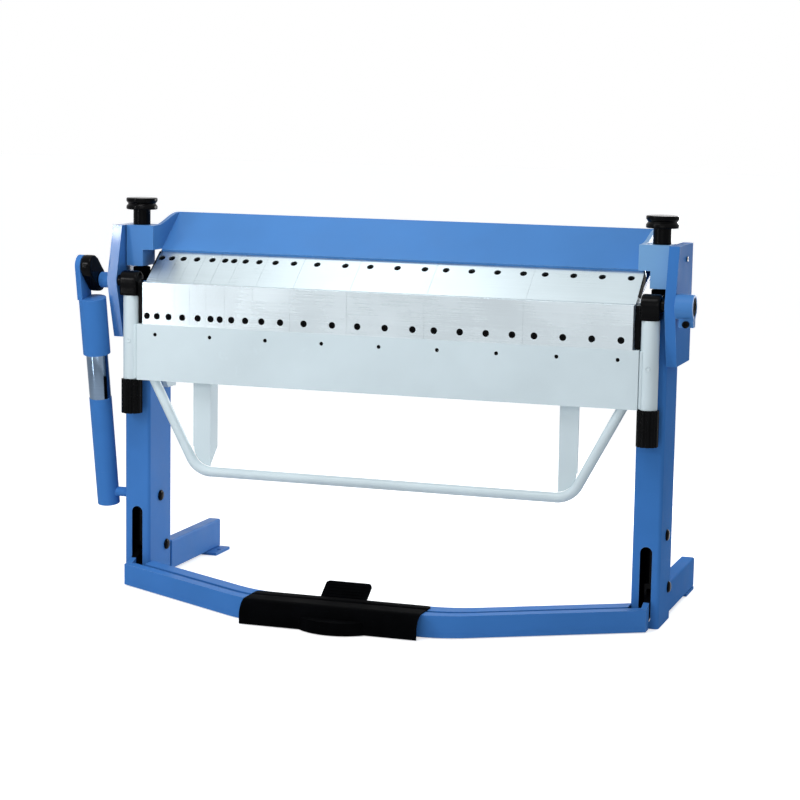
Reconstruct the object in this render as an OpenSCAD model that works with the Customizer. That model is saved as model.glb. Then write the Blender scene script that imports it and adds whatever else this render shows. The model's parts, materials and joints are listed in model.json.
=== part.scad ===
// Foot-operated box-and-pan folding machine, millimetres, +Z up.
// Inside the modules X = 0 is the mid-plane, Y = 0 the bend line (front is -Y) and Z = 0 the floor.

/* [Bending tools] */
// Widths of the finger segments, from left to right
finger_widths = [25, 30, 35, 40, 45, 50, 75, 100, 150, 200, 250, 270]; // [10:5:400]
// Number of fixing screws in each finger segment
finger_screw_counts = [1, 1, 1, 1, 1, 2, 2, 2, 2, 3, 4, 4]; // [1:1:4]
// Side gap between neighbouring segments
segment_gap = 0.3; // [0.1:0.1:1]
// Slope of the finger face above the bed
finger_slope = 38; // [32:1:42]
// Length of a finger along its slope
finger_len = 124; // [116:1:140]
// Thickness of a finger
finger_t = 24; // [18:1:28]
// Distance of the screw row from the finger nose, along the slope
finger_screw_at = 91; // [70:1:100]
// Height of the folding bar
bar_h = 107; // [90:1:120]
// Thickness of the folding bar
bar_t = 12; // [10:0.5:14]
// Depth of the bar's screw row below the bend line
bar_screw_drop = 85; // [60:1:95]
// Bore for the head of a segment screw
screw_bore = 17; // [14:0.5:20]
// Thread diameter of a segment screw
screw_d = 9; // [6:0.5:10]

/* [Frame] */
// Height of the bend line above the floor
hinge_z = 790; // [740:5:860]
// Width of a leg tube
leg_w = 70; // [64:1:80]
// Depth of a leg tube
leg_d = 140; // [130:1:160]
// Wall of a leg tube
leg_wall = 5; // [4:0.5:6]
// Outer corner radius of the tubes
tube_r = 9; // [7:0.5:12]
// Distance of the leg fronts behind the bend line
leg_front = 32; // [30:1:40]
// Clear space between the segment set and the legs at each end
end_room = 3; // [2:0.5:6]
// Thickness of the side plates
side_t = 26; // [20:1:32]
// Height of the side plates above the bend line
side_up = 140; // [132:1:150]
// Depth of the side plates below the bend line
side_down = 147; // [120:1:170]
// Reach of the side plate's nose in front of the bend line
side_nose = 20; // [18:1:26]
// Length of the rear feet behind the legs
foot_len = 334; // [260:2:400]
// Width of a rear foot tube
foot_w = 36; // [30:1:44]
// Height of the top of the rear feet
foot_top = 86; // [70:1:96]
// Thickness of the foot plates
foot_plate_t = 8; // [5:1:12]
// Floor bolt hole in a foot plate
foot_hole = 13; // [9:1:16]

/* [Bed] */
// Depth of the bed from front to back
bed_d = 150; // [120:1:160]
// Height of the bed beam
bed_h = 160; // [130:1:175]
// Wall of the bed beam
bed_wall = 16; // [12:1:20]
// Thickness of the bed's end brackets
bracket_t = 14; // [10:1:18]
// Height of the bed's end brackets
bracket_h = 285; // [200:5:320]

/* [Clamping beam] */
// Thickness of the sloped front sheet
skin_t = 6.5; // [5:0.5:8]
// Distance from the bend line, along the slope, of the sheet's lower edge
skin_from = 116; // [108:1:118]
// Distance from the bend line, along the slope, of the sheet's top edge
skin_to = 264; // [240:1:290]
// Wall of the clamping beam behind the sheet
beam_wall = 10; // [8:1:12]
// Width of an end arm
arm_w = 64; // [60:1:66]
// Front of the end arms behind the bend line
arm_front = 36; // [32:1:42]
// Underside of the end arms above the bend line
arm_low = 36; // [32:1:44]
// Thickness of the web between an end arm and the clamping beam
web_t = 10; // [8:1:10]
// Height of the clamping beam's stroke
lift = 47; // [30:1:50]
// Knob rod's place behind the bend line
rod_y = 73; // [70:0.5:76]
// Knob rod's distance from the middle of its leg
rod_out = 6; // [0:0.5:6]
// Diameter of the pull rods
rod_d = 24; // [20:1:26]
// Diameter of a knob's head
knob_d = 80; // [60:1:90]
// Height of a knob's head
knob_h = 30; // [20:1:36]
// Diameter of a knob's stem
knob_stem_d = 44; // [38:1:46]
// Diameter of a knob's shank inside the arm
knob_shank_d = 30; // [28:0.5:32]
// Length of a knob's stem above the arm
knob_stem_h = 39; // [25:1:45]

/* [Folding beam] */
// Depth of the folding beam below the bend line
fold_h = 250; // [220:1:280]
// Thickness of the folding beam
fold_t = 24; // [20:1:28]
// Spacing of the plugged holes along the folding beam
fold_hole_pitch = 150; // [100:5:200]
// Diameter of the end posts
post_d = 44; // [38:1:46]
// Radius of the hinge knuckles
knuckle_r = 27; // [25:0.5:28]
// Diameter of the hinge pins
pin_d = 30; // [24:1:34]
// Diameter of the threaded studs in the end posts
stud_d = 24; // [18:1:28]
// Diameter of the fluted post nuts
nut_d = 54; // [48:1:58]
// Height of one post nut
nut_h = 44; // [36:1:46]
// Number of flutes around a post nut
nut_flutes = 12; // [8:1:16]
// Diameter of the handle tube
handle_d = 25; // [20:1:30]
// Depth of the handle's run below the bend line
handle_drop = 478; // [440:1:500]
// Half distance between the handle's welded ends
handle_top_x = 610; // [590:1:625]
// Half distance between the corners of the handle's run
handle_low_x = 490; // [470:1:520]
// Bend radius of the handle tube
handle_r = 62; // [45:1:80]
// Leg width of the handle's angle posts
angle_w = 48; // [40:1:60]
// Thickness of the handle's angle posts
angle_t = 5; // [4:0.5:8]

/* [Pedal] */
// Height of the pedal lever pivots above the floor
pivot_z = 84; // [78:1:90]
// Place of the pedal lever pivots behind the bend line
pivot_y = 138; // [134:1:140]
// Height of the pedal bar
pedal_h = 54; // [44:1:56]
// Depth of the pedal bar, front to back
pedal_w = 32; // [26:1:34]
// Wall of the pedal bar
pedal_wall = 4; // [3:0.5:6]
// Reach of the pedal bar's back edge in front of the bend line
pedal_reach = 232; // [210:1:245]
// Half length of the straight middle of the pedal bar
pedal_flat_x = 250; // [220:5:280]
// Depth of the fixed cross tie, front to back
tie_w = 46; // [36:1:50]
// Gap between the pedal bar and the cross tie
tie_gap = 16; // [12:1:20]
// Length of the pedal cover
cover_len = 450; // [380:5:460]
// Offset of the pedal cover from the mid-plane
cover_x = -25; // [-40:1:0]
// Reach of the pedal cover in front of the pedal bar
cover_reach = 38; // [30:1:46]
// Thickness of the pedal cover
cover_t = 3; // [2:0.5:4]
// Width of the release pedal
release_w = 118; // [100:1:130]
// Length of the release pedal
release_len = 64; // [56:1:72]

/* [Balance strut] */
// Distance of the strut from the mid-plane
strut_x = 772; // [768:1:780]
// Diameter of the strut's sleeve
sleeve_d = 70; // [62:1:72]
// Diameter of the strut's chromed tube
chrome_d = 56; // [50:1:57]
// Diameter of the strut's lower tube
strut_tube_d = 58; // [56:1:62]
// Radius of the crank, from the hinge to the strut's pin
crank_r = 55; // [45:1:60]
// Height of the strut's lower pin above the floor
strut_pin_z = 230; // [200:5:260]
// Place of the strut's lower pin behind the bend line
strut_pin_y = 65; // [55:1:90]

/* [Hidden] */
$fn = 64;
// Radial clearance of running fits
run = 0.05;
// Clearance between pieces that stand close
near = 0.3;
// Cuts run this far past the faces that they open
cut = 1;

finger_count = len(finger_widths);
function sum_to(list, count) = count <= 0 ? 0 : list[count - 1] + sum_to(list, count - 1);
bend_len = sum_to(finger_widths, finger_count);
function segment_left(i) = sum_to(finger_widths, i) - bend_len / 2;
function segment_mid(i) = segment_left(i) + finger_widths[i] / 2;
// Screw spacing in a segment: the outer screws keep about a quarter of a share from the ends
function screw_pitch(i) = finger_widths[i] / max(2, finger_screw_counts[i] - 0.2);
function screw_x(i, k) = segment_mid(i) + (k - (finger_screw_counts[i] - 1) / 2) * screw_pitch(i);

// Stations along X
leg_in = bend_len / 2 + end_room;
column_x = leg_in + leg_w / 2;
rod_x = column_x + rod_out;
leg_out = leg_in + leg_w;
side_out = leg_out + side_t;
leg_back = leg_front + leg_d;
side_back = leg_back + 6;
boss_d = 60;
boss_len = 43;
boss_bore = pin_d + 16;
boss_out = side_out + boss_len;
left_boss_d = 40;
left_boss_len = 24;
crank_t = 28;
crank_end_r = 28;
crank_hub_r = 30;
crank_in = side_out + left_boss_len + cut;
crank_out = crank_in + crank_t;
eye_t = 14;
eye_w = 54;
eye_in = crank_out + near;

// Points along the finger slope: s runs up from the nose, d stands off towards the front
nose_y = 1.6;
slope_c = cos(finger_slope);
slope_s = sin(finger_slope);
function on_slope(s, d) = [nose_y + s * slope_c - d * slope_s, s * slope_s + d * slope_c];

// Front and back lines of the pedal bar and the cross tie, bent at both ends of a straight middle
arm_slope = 0.57;
bend_r = 60;
bend_steps = 6;
function v_rise(x) = let (u = abs(x) - pedal_flat_x)
    u > bend_r ? arm_slope * u : u < -bend_r ? 0 : arm_slope * pow(u + bend_r, 2) / (4 * bend_r);
function v_stations(end) = let (
    bend = [for (i = [0 : bend_steps]) pedal_flat_x + bend_r - 2 * bend_r * i / bend_steps],
    half = concat([end], bend))
    concat([for (x = half) -x], [for (i = [len(half) - 1 : -1 : 0]) half[i]]);
function v_line(end, y) = [for (x = v_stations(end)) [x, y + v_rise(x)]];
function reversed(list) = [for (i = [len(list) - 1 : -1 : 0]) list[i]];

pedal_back = -pedal_reach;
pedal_front = pedal_back - pedal_w;
pedal_low = 2;
pedal_top = pedal_low + pedal_h;
tie_front = pedal_back + tie_gap;
tie_back = tie_front + tie_w;
tie_low = 4;
tie_top = pedal_top;

// Pedal lever and pull rod: the rod's pin rises by the stroke while the lever swings
lever_t = 14;
lever_cover = 1.5;
pedal_end = rod_x + lever_t / 2 + lever_cover;
lever_half = 22;
lever_pin_d = 12;
lever_rest = 20;
lever_arm = pivot_y - rod_y;
rod_pin_z = pivot_z - lever_arm * tan(lever_rest);
lever_swing = lever_rest + atan((lift - lever_arm * tan(lever_rest)) / lever_arm);
pivot_d = 16;
fork_half = 12;
fork_gap = 1;
fork_t = 6;
fork_room = 32;
fork_top = rod_pin_z + fork_room + fork_half;
slot_w = 30;
slot_low = 12;
slot_top = 201;
spring_y = 100;
anchor_z = 221;
bolt_head_d = 28;
bolt_head_h = 3;
cap_t = 12;

// Heights above the bend line
arm_top = side_up;
knob_low = 8;
skin_top = on_slope(skin_to, 0)[1] + skin_t * slope_c;
beam_back = on_slope(skin_to, skin_t)[0] + 8;
beam_low_back = 58;
beam_in = leg_in + end_room;
arm_out = beam_in + arm_w;
arm_back = rod_y + 39;
notch_x = 19;
notch_z = 78;

// Folding beam
bar_front = -20;
bar_back = bar_front + bar_t;
fold_gap = 0.6;
fold_chamfer = 10;
fold_back = bar_front + fold_t;
knuckle_w = 47;
knuckle_low = 36;
knuckle_in = column_x - post_d / 2;
pin_head_t = 8;
flange_in = bend_len / 2 + 2;
flange_t = 14;
flange_proud = 4;
post_low = fold_h;
// The stud ends inside the lock nut, in a shallow cup
nut_cup = 4;
stud_low = post_low + 2 * nut_h - nut_cup;
flute_d = 8;
flute_deep = 2.5;
handle_dx = handle_top_x - handle_low_x;
handle_dz = handle_drop - fold_h;
handle_slant = atan2(handle_dx, handle_dz);
// Length that a bend of the handle takes from each of its straight sides
handle_setback = handle_r * tan(45 - handle_slant / 2);
angle_x = 456;
angle_up = 190;
angle_chamfer = 45;
plug_d = 10;
plug_drop = 132;

// Strut: at rest it leans from its lower pin to the crank's pin
crank_angle = 136.5;
crank_pin = [crank_r * cos(crank_angle), crank_r * sin(crank_angle)];
strut_dy = crank_pin[0] - strut_pin_y;
strut_dz = hinge_z + crank_pin[1] - strut_pin_z;
strut_len = norm([strut_dy, strut_dz]);
strut_lean = atan2(-strut_dy, strut_dz);
fold_angle = 135;
folded_pin = [crank_r * cos(crank_angle - fold_angle), crank_r * sin(crank_angle - fold_angle)];
folded_dy = folded_pin[0] - strut_pin_y;
folded_dz = hinge_z + folded_pin[1] - strut_pin_z;
strut_stroke = strut_len - norm([folded_dy, folded_dz]);
strut_swing = strut_lean - atan2(-folded_dy, folded_dz);
sleeve_below_pin = 84;
sleeve_len = 148;
chrome_show = 118;
strut_foot = 33;
strut_pin_d = 25;
crank_pin_d = 22;

// The object's box is centred on the origin
x_shift = ((strut_x + sleeve_d / 2) - boss_out) / 2;
toe_reach = 33;
y_front = pedal_front - cover_reach - toe_reach;
y_back = leg_back + foot_len + 5;
y_shift = -(y_front + y_back) / 2;

blue = [0.25, 0.47, 0.74];
pale = [0.80, 0.87, 0.88];
steel = [0.76, 0.80, 0.82];
black = [0.05, 0.05, 0.06];
chrome = [0.85, 0.87, 0.90];

fingers = [for (i = [1 : finger_count]) str("upper_finger_", i)];

// Shared shapes

module in_place() { translate([x_shift, y_shift, 0]) children(); }

module at_hinge() { translate([0, 0, hinge_z]) children(); }

module on_left() { mirror([1, 0, 0]) children(); }

// Extrudes an outline of [y, z] points along X
module along_x(x0, x1) {
    translate([x0, 0, 0]) rotate([90, 0, 90]) linear_extrude(x1 - x0) children();
}

// Extrudes an outline of [x, z] points along Y
module along_y(y0, y1) {
    translate([0, y1, 0]) rotate([90, 0, 0]) linear_extrude(y1 - y0) children();
}

module x_rod(d, x0, x1) {
    translate([x0, 0, 0]) rotate([0, 90, 0]) cylinder(d = d, h = x1 - x0);
}

module rounded(w, d, r) {
    square([w - 2 * r, d], center = true);
    square([w, d - 2 * r], center = true);
    for (x = [-1, 1], y = [-1, 1])
        translate([x * (w / 2 - r), y * (d / 2 - r)]) circle(r);
}

module ring(w, d, r, wall) {
    difference() {
        rounded(w, d, r);
        rounded(w - 2 * wall, d - 2 * wall, max(r - wall, 1));
    }
}

module at_screws() {
    for (i = [0 : finger_count - 1], k = [0 : finger_screw_counts[i] - 1])
        translate([screw_x(i, k), 0, 0]) children();
}

// Frame

module leg() {
    color(blue) difference() {
        translate([column_x, leg_front + leg_d / 2, 0]) {
            linear_extrude(hinge_z) ring(leg_w, leg_d, tube_r, leg_wall);
            translate([0, 0, hinge_z - cap_t])
                linear_extrude(cap_t) rounded(leg_w, leg_d, tube_r);
        }
        translate([rod_x, rod_y, hinge_z - cap_t - cut])
            cylinder(d = rod_d + 2 * run, h = cap_t + 2 * cut);
        translate([column_x, leg_front + leg_wall / 2, 0]) pedal_slot();
        for (p = [[pivot_y, pivot_z], [spring_y, anchor_z]])
            translate([0, p[0], p[1]]) x_rod(pivot_d + 2 * run, leg_in - cut, leg_out + cut);
    }
}

// Slot in a leg's front wall with round ends
module pedal_slot() {
    rotate([90, 0, 0]) translate([0, 0, -leg_wall / 2 - cut]) linear_extrude(leg_wall + 2 * cut) {
        translate([-slot_w / 2, slot_low + slot_w / 2])
            square([slot_w, slot_top - slot_low - slot_w]);
        for (z = [slot_low + slot_w / 2, slot_top - slot_w / 2]) translate([0, z]) circle(d = slot_w);
    }
}

module leg_left() { on_left() leg(); }

module leg_right() { leg(); }

// Welded pin on the left leg that carries the strut's foot
module strut_anchor_pin() {
    on_left() color(blue) translate([0, strut_pin_y, strut_pin_z])
        x_rod(strut_pin_d, leg_out, strut_x + strut_tube_d / 4);
}

// Screws through the side plates that guide the arms
guide_d = 7;
guide_head_d = 12;
guide_head_h = 3;
guide_y = arm_back - 8;
guide_z = arm_top - 35;

module at_guide_screw() { translate([0, guide_y, hinge_z + guide_z]) children(); }

module side_plate() {
    color(blue) difference() {
        at_hinge() along_x(leg_out, side_out)
            polygon([[side_nose - 4, side_up], [-side_nose, 0], [side_nose + 2, -side_down],
                     [side_back, -side_down], [side_back, side_up]]);
        at_hinge() x_rod(pin_d + 2 * run, leg_out - cut, side_out + cut);
        at_guide_screw() x_rod(guide_d + 2 * run, leg_out - cut, side_out + cut);
    }
}

module side_plate_left() { on_left() side_plate(); }

module side_plate_right() { side_plate(); }

module guide_screws() {
    color(black) for (m = [0, 1]) mirror([m, 0, 0]) at_guide_screw() {
        x_rod(guide_d, arm_out + near, side_out + cut);
        difference() {
            x_rod(guide_head_d, side_out, side_out + guide_head_h);
            translate([side_out + guide_head_h / 2, 0, 0]) rotate([0, 90, 0])
                cylinder(d = guide_d, h = guide_head_h, $fn = 6);
        }
    }
}

lug_w = 26;
lug_low = 48;
lug_slit = 4;
clamp_bolt_d = 10;
clamp_head_d = 17;
clamp_z = -40;

module hinge_boss_left() {
    on_left() color(blue) at_hinge() difference() {
        x_rod(left_boss_d, side_out, side_out + left_boss_len);
        x_rod(pin_d + 2 * run, side_out - cut, side_out + left_boss_len + cut);
    }
}

// Split clamp ring with a lug below
module hinge_boss_right() {
    color(blue) at_hinge() difference() {
        union() {
            x_rod(boss_d, side_out, boss_out);
            translate([side_out + 8, -lug_w / 2, -lug_low]) cube([boss_len - 8, lug_w, lug_low - 20]);
        }
        x_rod(pin_d + 2 * run, side_out - cut, boss_out + cut);
        x_rod(boss_bore, side_out + boss_len / 2, boss_out + cut);
        translate([side_out + 8, -lug_slit / 2, -lug_low - cut]) cube([boss_len, lug_slit, lug_low]);
        translate([side_out + 26, 0, clamp_z]) rotate([90, 0, 0])
            cylinder(d = clamp_bolt_d + 2 * run, h = lug_w + 2 * cut, center = true);
    }
}

module boss_clamp_bolt() {
    color(black) at_hinge() translate([side_out + 26, 0, clamp_z]) rotate([90, 0, 0]) {
        translate([0, 0, -lug_w / 2]) cylinder(d = clamp_bolt_d, h = lug_w + cut);
        difference() {
            translate([0, 0, lug_w / 2]) cylinder(d = clamp_head_d, h = 10);
            translate([0, 0, lug_w / 2 + 5]) cylinder(d = 9, h = 10, $fn = 6);
        }
    }
}

foot_plate_in = 27;
foot_plate_len = 97;
foot_r = 5;
foot_wall = 4;
foot_set_in = 5;

// Tube from the back of a leg, on a plate that reaches inwards for the floor bolt
module rear_foot(foot_in) {
    foot_h = foot_top - foot_plate_t;
    color(blue) {
        translate([foot_in + foot_w / 2, leg_back, foot_plate_t + foot_h / 2]) rotate([-90, 0, 0])
            linear_extrude(foot_len) ring(foot_w, foot_h, foot_r, foot_wall);
        difference() {
            translate([foot_in - foot_plate_in, y_back - foot_plate_len, 0])
                cube([foot_plate_in + foot_w, foot_plate_len, foot_plate_t]);
            translate([foot_in - foot_plate_in / 2, y_back - foot_plate_len / 2, -cut])
                cylinder(d = foot_hole, h = foot_plate_t + 2 * cut);
        }
    }
}

// The left foot is in line with its leg's inner face, the right one with its leg's outer face
module rear_foot_left() { on_left() rear_foot(leg_in); }

module rear_foot_right() { rear_foot(leg_out - foot_set_in - foot_w); }

module v_outline(end, y0, y1) { polygon(concat(v_line(end, y0), reversed(v_line(end, y1)))); }

// Release pedal: hinged on two lugs behind the cross tie
release_mid = -33;
release_tilt = 34;
release_t = 6;
release_pin_d = 8;
release_lift = release_pin_d / 2 + 6;
lug_t = 8;
lug_x = 40;
lug_r = 8;
lug_reach = 18;
release_y = tie_back + lug_reach;
release_z = tie_top - 2 * lug_r;

module cross_tie() {
    tie_wall = 4;
    color(blue) {
        translate([0, 0, tie_low]) linear_extrude(tie_top - tie_low) difference() {
            v_outline(leg_in, tie_front, tie_back);
            v_outline(leg_in + cut, tie_front + tie_wall, tie_back - tie_wall);
        }
        translate([0, 0, tie_top - tie_wall]) linear_extrude(tie_wall)
            v_outline(leg_in, tie_front, tie_back);
        for (s = [-1, 1]) difference() {
            translate([release_mid + s * lug_x - lug_t / 2, release_y, release_z]) {
                translate([0, -lug_reach - cut, -lug_r]) cube([lug_t, lug_reach + cut, lug_r]);
                x_rod(2 * lug_r, 0, lug_t);
            }
            translate([0, release_y, release_z])
                x_rod(release_pin_d + 2 * run, -bend_len / 2, bend_len / 2);
        }
    }
}

bed_foot = 60;
bed_nose_wall = 26;

module bed_beam() {
    color(pale) at_hinge() along_x(-leg_in + bracket_t, leg_in - bracket_t) difference() {
        polygon([[fold_gap, 0], [bed_d, 0], [bed_d, -bed_h], [bed_d - bed_foot, -bed_h],
                 [fold_gap, -bed_h / 2]]);
        polygon([[bed_nose_wall, -bed_wall], [bed_d - bed_wall, -bed_wall],
                 [bed_d - bed_wall, -bed_h + bed_wall],
                 [bed_d - bed_foot + bed_wall / 2, -bed_h + bed_wall], [bed_nose_wall, -bed_h / 2]]);
    }
}

bracket_inset = 4;
bracket_foot = 50;
bracket_taper = 110;

module bed_bracket() {
    bracket_front = leg_front + bracket_inset;
    bracket_back = leg_back - bracket_inset;
    color(pale) at_hinge() along_x(leg_in - bracket_t, leg_in)
        polygon([[bracket_front, 0], [bracket_back, 0], [bracket_back, -bracket_h],
                 [bracket_back - bracket_foot, -bracket_h], [bracket_front, -bracket_h + bracket_taper]]);
}

module bed_bracket_left() { on_left() bed_bracket(); }

module bed_bracket_right() { bed_bracket(); }

// Pivot bolts of the pedal levers and anchor bolts of the lift springs
module leg_bolts() {
    color(black) for (m = [0, 1], p = [[pivot_y, pivot_z], [spring_y, anchor_z]])
        mirror([m, 0, 0]) translate([0, p[0], p[1]]) {
            x_rod(pivot_d, leg_in, leg_out);
            x_rod(bolt_head_d, leg_out, leg_out + bolt_head_h);
            x_rod(bolt_head_d, leg_in - bolt_head_h, leg_in);
        }
}

spring_r = 10;
wire_r = 2;
// The spring's end stands on the sloped top of the lever with its back edge
spring_low = pivot_z - (pivot_y - spring_y - spring_r - wire_r) * tan(lever_rest)
    + lever_half / cos(lever_rest) + near;
spring_high = anchor_z - pivot_d / 2 - near;
spring_turns = 12;
spring_rings = 8;
wire_sides = 6;

// One unbroken coil: rings of points swept along a helix
function helix(t) = [spring_r * cos(360 * t), spring_r * sin(360 * t),
    spring_low + wire_r + (spring_high - spring_low - 2 * wire_r) * t / spring_turns];
function wire_point(t, j) = let (a = 360 * j / wire_sides, c = helix(t))
    c + wire_r * [cos(a) * cos(360 * t), cos(a) * sin(360 * t), sin(a)];

module coil() {
    last = spring_turns * spring_rings;
    points = [for (i = [0 : last], j = [0 : wire_sides - 1]) wire_point(i / spring_rings, j)];
    function at(i, j) = i * wire_sides + j % wire_sides;
    walls = [for (i = [0 : last - 1], j = [0 : wire_sides - 1], f = [0, 1])
        f == 0 ? [at(i, j), at(i, j + 1), at(i + 1, j)] : [at(i, j + 1), at(i + 1, j + 1), at(i + 1, j)]];
    caps = concat([for (j = [1 : wire_sides - 2]) [at(0, 0), at(0, j + 1), at(0, j)]],
                  [for (j = [1 : wire_sides - 2]) [at(last, 0), at(last, j), at(last, j + 1)]]);
    polyhedron(points, concat(walls, caps));
}

module lift_springs() {
    color(steel) for (s = [-1, 1]) translate([s * rod_x, spring_y, 0]) coil();
}

// Clamping beam

module finger_profile() {
    foot = 18;
    relief = 2;
    polygon([on_slope(near / slope_s, 0), on_slope(finger_len, 0), on_slope(finger_len, -finger_t),
             on_slope((relief + finger_t * slope_c) / slope_s, -finger_t),
             [nose_y + foot + relief, relief], [nose_y + foot, near]]);
}

// Screw seats square to the finger face
module at_finger_screws() {
    p = on_slope(finger_screw_at, 0);
    at_hinge() at_screws() translate([0, p[0], p[1]]) rotate([finger_slope, 0, 0]) children();
}

screw_depth = 12;
screw_reach = 22;

module upper_finger(i) {
    color(steel) difference() {
        at_hinge() along_x(segment_left(i) + segment_gap / 2,
                           segment_left(i) + finger_widths[i] - segment_gap / 2) finger_profile();
        at_finger_screws() {
            translate([0, 0, -screw_depth]) cylinder(d = screw_bore, h = screw_depth + cut);
            translate([0, 0, -finger_t - cut]) cylinder(d = screw_d + 2 * near, h = finger_t);
        }
    }
}

// Socket screw with its head sunk in the bore and its shank in the part behind
module socket_screw(head_at, reach) {
    difference() {
        union() {
            translate([0, 0, -head_at]) cylinder(d = screw_bore - 2 * near, h = screw_d);
            translate([0, 0, -reach]) cylinder(d = screw_d, h = reach - head_at + cut);
        }
        translate([0, 0, -head_at + screw_d / 2]) cylinder(d = screw_d - 1, h = screw_d, $fn = 6);
    }
}

module finger_screws() {
    color(black) at_finger_screws() socket_screw(screw_depth, finger_t + screw_reach / 2);
}

module upper_beam() {
    seat_low = on_slope(62, -finger_t);
    color(blue) at_hinge() difference() {
        along_x(-beam_in + web_t, beam_in - web_t) difference() {
            polygon([on_slope(skin_from, skin_t), on_slope(skin_to, skin_t), [beam_back, skin_top],
                     [beam_back, beam_low_back], seat_low + [30, -2], seat_low,
                     on_slope(finger_len, -finger_t), on_slope(finger_len, 0), on_slope(skin_from, 0)]);
            polygon([on_slope(finger_len + beam_wall, 0), on_slope(skin_to - beam_wall, 0),
                     [beam_back - beam_wall, skin_top - 2 * beam_wall],
                     [beam_back - beam_wall, beam_low_back + beam_wall],
                     seat_low + [38, beam_wall + 2],
                     on_slope(finger_len + beam_wall, -finger_t - beam_wall)]);
        }
        translate([0, 0, -hinge_z]) at_finger_screws() translate([0, 0, -finger_t - screw_reach / 2 - cut])
            cylinder(d = screw_d + 2 * run, h = screw_reach);
    }
}

// An end arm is a block round the knob's shank, notched below, and a web that joins it to the beam.
// The web's top sweeps up beside the knob to the sheet's top edge.
sweep_from = 62;
sweep_to = beam_back - 7;
sweep_steps = 10;
sweep = [for (i = [0 : sweep_steps]) let (t = i / sweep_steps)
    [sweep_from + (sweep_to - sweep_from) * t, arm_top + (skin_top - arm_top) * (1 - cos(180 * t)) / 2]];

module beam_arm() {
    color(blue) at_hinge() difference() {
        union() {
            along_x(beam_in - web_t, beam_in)
                polygon(concat([[arm_front, notch_z], [arm_front, arm_top]], sweep,
                               [[beam_back, skin_top], [beam_back, beam_low_back], [arm_back, notch_z]]));
            along_y(arm_front, arm_back)
                polygon([[beam_in - cut, notch_z], [beam_in - cut, arm_top], [arm_out, arm_top],
                         [arm_out, arm_low], [beam_in + notch_x, arm_low], [beam_in + notch_x, notch_z]]);
        }
        translate([rod_x, rod_y, arm_low - cut])
            cylinder(d = knob_shank_d + 2 * run, h = arm_top - arm_low + 2 * cut);
    }
}

module beam_arm_left() { on_left() beam_arm(); }

module beam_arm_right() { beam_arm(); }

strip_t = 2;
strip_from = 24;
strip_back_from = 44;
strip_proud = 2;

module finger_end_strips() {
    strip_to = skin_from - cut;
    strip_back = strip_proud + near - finger_t;
    color(black) at_hinge() for (m = [0, 1]) mirror([m, 0, 0])
        along_x(bend_len / 2, bend_len / 2 + strip_t)
            polygon([on_slope(strip_from, strip_proud), on_slope(strip_to, strip_proud),
                     on_slope(strip_to, strip_back), on_slope(strip_back_from, strip_back)]);
}

knob_lip = 8.5;
knob_groove = 5;
knob_edge = 2;

// Grooved head on a stem whose shoulder sits on the arm, with a shank down through the arm
module clamp_knob() {
    shoulder = arm_top + near;
    head_low = arm_top + knob_stem_h;
    head_top = head_low + knob_h;
    r = knob_d / 2;
    stem_r = knob_stem_d / 2;
    shank_r = knob_shank_d / 2;
    bore_r = rod_d / 2 + run;
    bore_top = head_low - 4;
    color(black) translate([rod_x, rod_y, hinge_z]) rotate_extrude()
        polygon([[bore_r, knob_low], [shank_r, knob_low], [shank_r, shoulder], [stem_r, shoulder],
                 [stem_r, head_low], [r - knob_edge, head_low], [r, head_low + knob_edge],
                 [r, head_low + knob_lip], [r - knob_groove, head_low + knob_h / 2],
                 [r, head_top - knob_lip], [r, head_top - knob_edge], [r - knob_edge, head_top],
                 [0, head_top], [0, bore_top], [bore_r, bore_top]]);
}

module clamp_knob_left() { on_left() clamp_knob(); }

module clamp_knob_right() { clamp_knob(); }

// Rod inside a leg, with a fork round the pedal lever
module pull_rod() {
    fork_w = lever_t / 2 + fork_gap + fork_t;
    rod_top = hinge_z + arm_top + knob_stem_h - 6;
    color(black) {
        translate([rod_x, rod_y, fork_top - cut]) cylinder(d = rod_d, h = rod_top - fork_top + cut);
        difference() {
            translate([rod_x - fork_w, rod_y - fork_half, rod_pin_z - fork_half])
                cube([2 * fork_w, 2 * fork_half, fork_top - rod_pin_z + fork_half]);
            translate([rod_x - lever_t / 2 - fork_gap, rod_y - fork_half - cut, rod_pin_z - fork_half - cut])
                cube([lever_t + 2 * fork_gap, 2 * fork_half + 2 * cut, fork_room + fork_half + cut]);
        }
        translate([0, rod_y, rod_pin_z]) x_rod(lever_pin_d, rod_x - fork_w, rod_x + fork_w);
    }
}

module pull_rod_left() { on_left() pull_rod(); }

module pull_rod_right() { pull_rod(); }

// Folding beam

// Screw seats square to the folding bar's front
module at_bar_screws() {
    at_hinge() at_screws() translate([0, bar_front, -bar_screw_drop]) rotate([90, 0, 0]) children();
}

bar_head_at = 9.5;

module folding_bar() {
    color(steel) difference() {
        at_hinge() for (i = [0 : finger_count - 1])
            along_x(segment_left(i) + segment_gap / 2,
                    segment_left(i) + finger_widths[i] - segment_gap / 2)
                polygon([[bar_front, -bar_h], [bar_back, -bar_h], [bar_back, 0], [bar_front, 0]]);
        at_bar_screws() {
            translate([0, 0, -bar_head_at]) cylinder(d = screw_bore, h = bar_head_at + cut);
            translate([0, 0, -bar_t - cut]) cylinder(d = screw_d + 2 * near, h = bar_t);
        }
    }
}

module bar_screws() {
    color(black) at_bar_screws() socket_screw(bar_head_at, bar_t + 5);
}

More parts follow.
